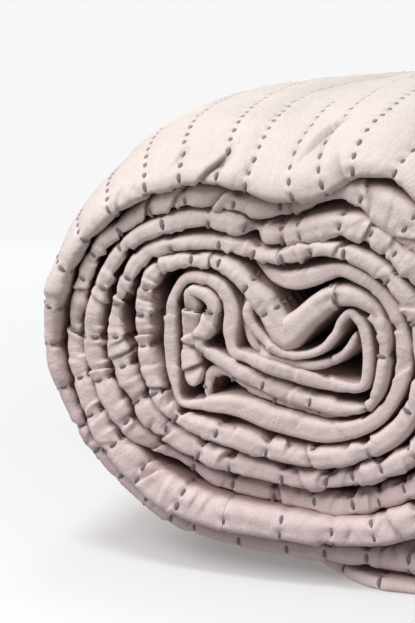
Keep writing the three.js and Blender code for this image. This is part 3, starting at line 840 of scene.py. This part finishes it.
# Between two distances over a fold edge: along the outer turn's face, on the other edges in front and at the
# back, under the free end, and on the tail ply and the hem
groups = [
    stitches_on(strip, range(first_shown, last_shown), -8, 560),
    stitches_on(strip, [*range(1, first_shown), *range(last_shown, int(last_line))], -8, 24),
    stitches_on(strip, range(1, int(last_line)), -8, 22, at_back=True),
    stitches_on(strip, (1, 2), -300, -16),
    stitches_on(strip, (1, 2), -300, -16, at_back=True),
    stitches_on(tail, range(1, int(tail["line"][-1])), -10, 14),
    stitches_on(hem, range(1, int(hem["line"][-1]) + 1), -10, 10),
]
places, outs, ways, painted_pale = (np.vstack(part) for part in zip(*groups))

# Stitches that would reach into the floor are left out, lying ones by their thickness, upright ones by length
LYING, UPRIGHT = 1.5, 2.6
clear = places[:, 2] > np.maximum(LYING, UPRIGHT * np.abs(ways[:, 2])) * MM
stitch_points = bpy.data.meshes.new("stitch_points")
stitch_points.from_pydata(places[clear].tolist(), [], [])
for name, vectors in (("out", outs[clear]), ("way", ways[clear])):
    stitch_points.attributes.new(name, "FLOAT_VECTOR", "POINT").data.foreach_set("vector", vectors.ravel())
# How much each stitch's thread is painted paler, a painted highlight
stitch_points.attributes.new("painted_pale", "FLOAT", "POINT").data.foreach_set("value", painted_pale[clear].ravel())
stitches = new_object("running_stitches", stitch_points)

# In millimetres: the thread's bow stands up by its rise in the middle, and its ends dip into the cloth
STITCH_SIZES = {"Length": 5.0, "Thread width": 2.3, "Rise": 1.0, "Dip": -0.4}
tree = bpy.data.node_groups.new("thread_on_each_point", "GeometryNodeTree")
tree.interface.new_socket("Points", in_out="INPUT", socket_type="NodeSocketGeometry")
tree.interface.new_socket("Stitches", in_out="OUTPUT", socket_type="NodeSocketGeometry")
sizes = {
    name: tree.interface.new_socket(name, in_out="INPUT", socket_type="NodeSocketFloat").identifier
    for name in STITCH_SIZES
}
given = tree.nodes.new("NodeGroupInput").outputs
start, end = (
    node(tree, "ShaderNodeCombineXYZ", X=calc("MULTIPLY", given["Length"], share), Z=given["Dip"])
    for share in (-0.5, 0.5)
)
over_cloth = node(tree, "ShaderNodeCombineXYZ", Z=given["Rise"])
bend = node(
    tree, "GeometryNodeCurveQuadraticBezier", Resolution=4, Start=start.outputs[0],
    Middle=over_cloth.outputs[0], End=end.outputs[0],
)
thread_radius = calc("MULTIPLY", given["Thread width"], 0.5)
section = node(tree, "GeometryNodeCurvePrimitiveCircle", Resolution=5, Radius=thread_radius)
flattened = node(tree, "GeometryNodeTransform", Geometry=section.outputs["Curve"], Scale=(1.0, 0.45, 1.0))
along_bend = node(tree, "GeometryNodeSplineParameter").outputs["Factor"]
along_bend = calc("MULTIPLY_ADD", along_bend, 2.0, -1.0)
taper = calc("SUBTRACT", 1.0, calc("MULTIPLY", along_bend, along_bend))
taper = calc("MULTIPLY_ADD", calc("SQRT", taper), 0.7, 0.3)
swept = node(
    tree, "GeometryNodeCurveToMesh", Curve=bend.outputs["Curve"], Profile_Curve=flattened.outputs["Geometry"],
    Scale=taper, Fill_Caps=True,
)
out_way, line_way = (
    node(tree, "GeometryNodeInputNamedAttribute", data_type="FLOAT_VECTOR", Name=name)
    for name in ("out", "way")
)
turned = node(
    tree, "FunctionNodeAxesToRotation", primary_axis="Z", secondary_axis="X",
    Primary_Axis=out_way.outputs["Attribute"], Secondary_Axis=line_way.outputs["Attribute"],
)
sizes_vary = node(tree, "FunctionNodeRandomValue", data_type="FLOAT", Seed=3)
sizes_vary.inputs[2].default_value, sizes_vary.inputs[3].default_value = 0.85, 1.1
set_down = node(
    tree, "GeometryNodeInstanceOnPoints", Points=given["Points"], Instance=swept.outputs["Mesh"],
    Rotation=turned.outputs["Rotation"], Scale=sizes_vary.outputs[1],
)
real = node(tree, "GeometryNodeRealizeInstances", Geometry=set_down.outputs["Instances"])
dressed = node(tree, "GeometryNodeSetMaterial", Geometry=real.outputs["Geometry"], Material=thread)
node(tree, "NodeGroupOutput", Stitches=dressed.outputs["Geometry"])
sewing = stitches.modifiers.new("sewing", "NODES")
sewing.node_group = tree
for name, size in STITCH_SIZES.items():
    sewing[sizes[name]] = size * MM
sewn = bpy.data.meshes.new_from_object(stitches.evaluated_get(bpy.context.evaluated_depsgraph_get()))
stitches.modifiers.remove(sewing)
stitches.data = sewn
sewn.name = "running_stitches"
sewn.shade_smooth()
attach(stitches, "root")
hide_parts("bedspread")

# The studio: a round pale floor that bends up into a wall all round, a soft lamp above, a small one behind
# and a wide one in front, in a white room. The camera stands low, right of the roll's end, with a long lens.
FLOOR_RADIUS, WALL_BEND, WALL_TOP, FLOOR_SIDES, BEND_STEPS = 5.0, 3.0, 9.0, 72, 24
bend_angles = np.linspace(0, math.pi / 2, BEND_STEPS + 1)
cove = [(FLOOR_RADIUS + WALL_BEND * math.sin(a), WALL_BEND * (1 - math.cos(a))) for a in bend_angles]
cove += [(FLOOR_RADIUS + WALL_BEND, WALL_TOP)]
round_about = [k / FLOOR_SIDES * math.tau for k in range(FLOOR_SIDES)]
floor_points = [(reach * math.cos(a), reach * math.sin(a), z) for reach, z in cove for a in round_about]
floor_faces = [tuple(range(FLOOR_SIDES))]
for start in range(0, len(floor_points) - FLOOR_SIDES, FLOOR_SIDES):
    for side in range(FLOOR_SIDES):
        corner, beside = start + side, start + (side + 1) % FLOOR_SIDES
        floor_faces.append((corner, corner + FLOOR_SIDES, beside + FLOOR_SIDES, beside))
floor_mesh = bpy.data.meshes.new("studio_floor")
floor_mesh.from_pydata(floor_points, [], floor_faces)
floor_mesh.shade_smooth()
floor = new_object("studio_floor", floor_mesh)
paper, paper_tree, paper_shader = new_material("studio_paper")
set_up(paper_shader, Roughness=0.9, Specular_IOR_Level=0.0, Emission_Strength=1.0)
paper_place = node(paper_tree, "ShaderNodeTexCoord").outputs["Object"]
paper_place = node(paper_tree, "ShaderNodeMapping", Vector=paper_place, Location=(0, 0.12, 0)).outputs[0]
paper_reach = node(paper_tree, "ShaderNodeVectorMath", operation="LENGTH", Vector=paper_place)
# The paper glows: faintly near the roll, which paints light into the roll's shadow on it, and fully far out,
# where it is the white backdrop; its own colour fades out with distance
for socket, near, far, first, last in (
    ("Base Color", 0.66, 0.0, 0.3, 1.4),
    ("Emission Color", 0.15, 0.93, 0.2, 1.3),
):
    lit = node(
        paper_tree, "ShaderNodeMapRange", interpolation_type="SMOOTHSTEP",
        Value=paper_reach.outputs["Value"], From_Min=first, From_Max=last, To_Min=near, To_Max=far,
    )
    feed(paper_shader.inputs[socket], lit.outputs["Result"])
floor_mesh.materials.append(paper)
floor.visible_diffuse = False

room = bpy.data.worlds.new("white_room")
room.use_nodes = True
set_up(room.node_tree.nodes["Background"], Color=(1.0, 0.975, 0.97, 1), Strength=0.36)
bpy.context.scene.world = room
LAMP_AIM = Vector((0, -0.2, 0.1))
for name, place, width, energy, colour in (
    ("top_lamp", Vector((-0.3, -1.0, 2.5)), 0.8, 27.5, (0.87, 1.0, 0.985)),
    ("back_lamp", Vector((-0.3, 0.4, 2.0)), 0.6, 4, (0.87, 1.0, 0.985)),
    ("front_lamp", Vector((-0.8, -1.75, 1.75)), 1.4, 37, (1.0, 0.962, 0.953)),
):
    lamp_data = bpy.data.lights.new(name, "AREA")
    lamp_data.shape, lamp_data.size, lamp_data.energy, lamp_data.color = "DISK", width, energy, colour
    lamp = new_object(name, lamp_data)
    lamp.location = place
    lamp.rotation_mode = "QUATERNION"
    lamp.rotation_quaternion = (LAMP_AIM - place).to_track_quat("-Z", "Y")
bpy.context.scene.view_settings.view_transform = "Standard"

IMAGE, SENSOR = (415, 623), 36
AZIMUTH, ELEVATION, FOCAL_PIXELS, DISTANCE = math.radians(22), math.radians(9), 1767, 0.848
CORE_PIXEL, CORE_PLACE = (263, 345), Vector((0, -0.308, 0.118))
level = math.cos(ELEVATION)
away = Vector((math.sin(AZIMUTH) * level, -math.cos(AZIMUTH) * level, math.sin(ELEVATION)))
right = Vector((math.cos(AZIMUTH), math.sin(AZIMUTH), 0))
up = away.cross(right)
to_right = (CORE_PIXEL[0] - IMAGE[0] / 2) / FOCAL_PIXELS
to_top = (IMAGE[1] / 2 - CORE_PIXEL[1]) / FOCAL_PIXELS
camera_place = CORE_PLACE - (right * to_right + up * to_top - away) * DISTANCE
camera_data = bpy.data.cameras.new("camera")
camera_data.sensor_width, camera_data.lens = SENSOR, FOCAL_PIXELS * SENSOR / IMAGE[1]
camera_data.clip_start, camera_data.clip_end = 0.05, 60
camera = new_object("camera", camera_data)
turn_camera = Matrix((right, up, away)).transposed().to_4x4()
camera.matrix_world = Matrix.Translation(camera_place) @ turn_camera
bpy.context.scene.camera = camera
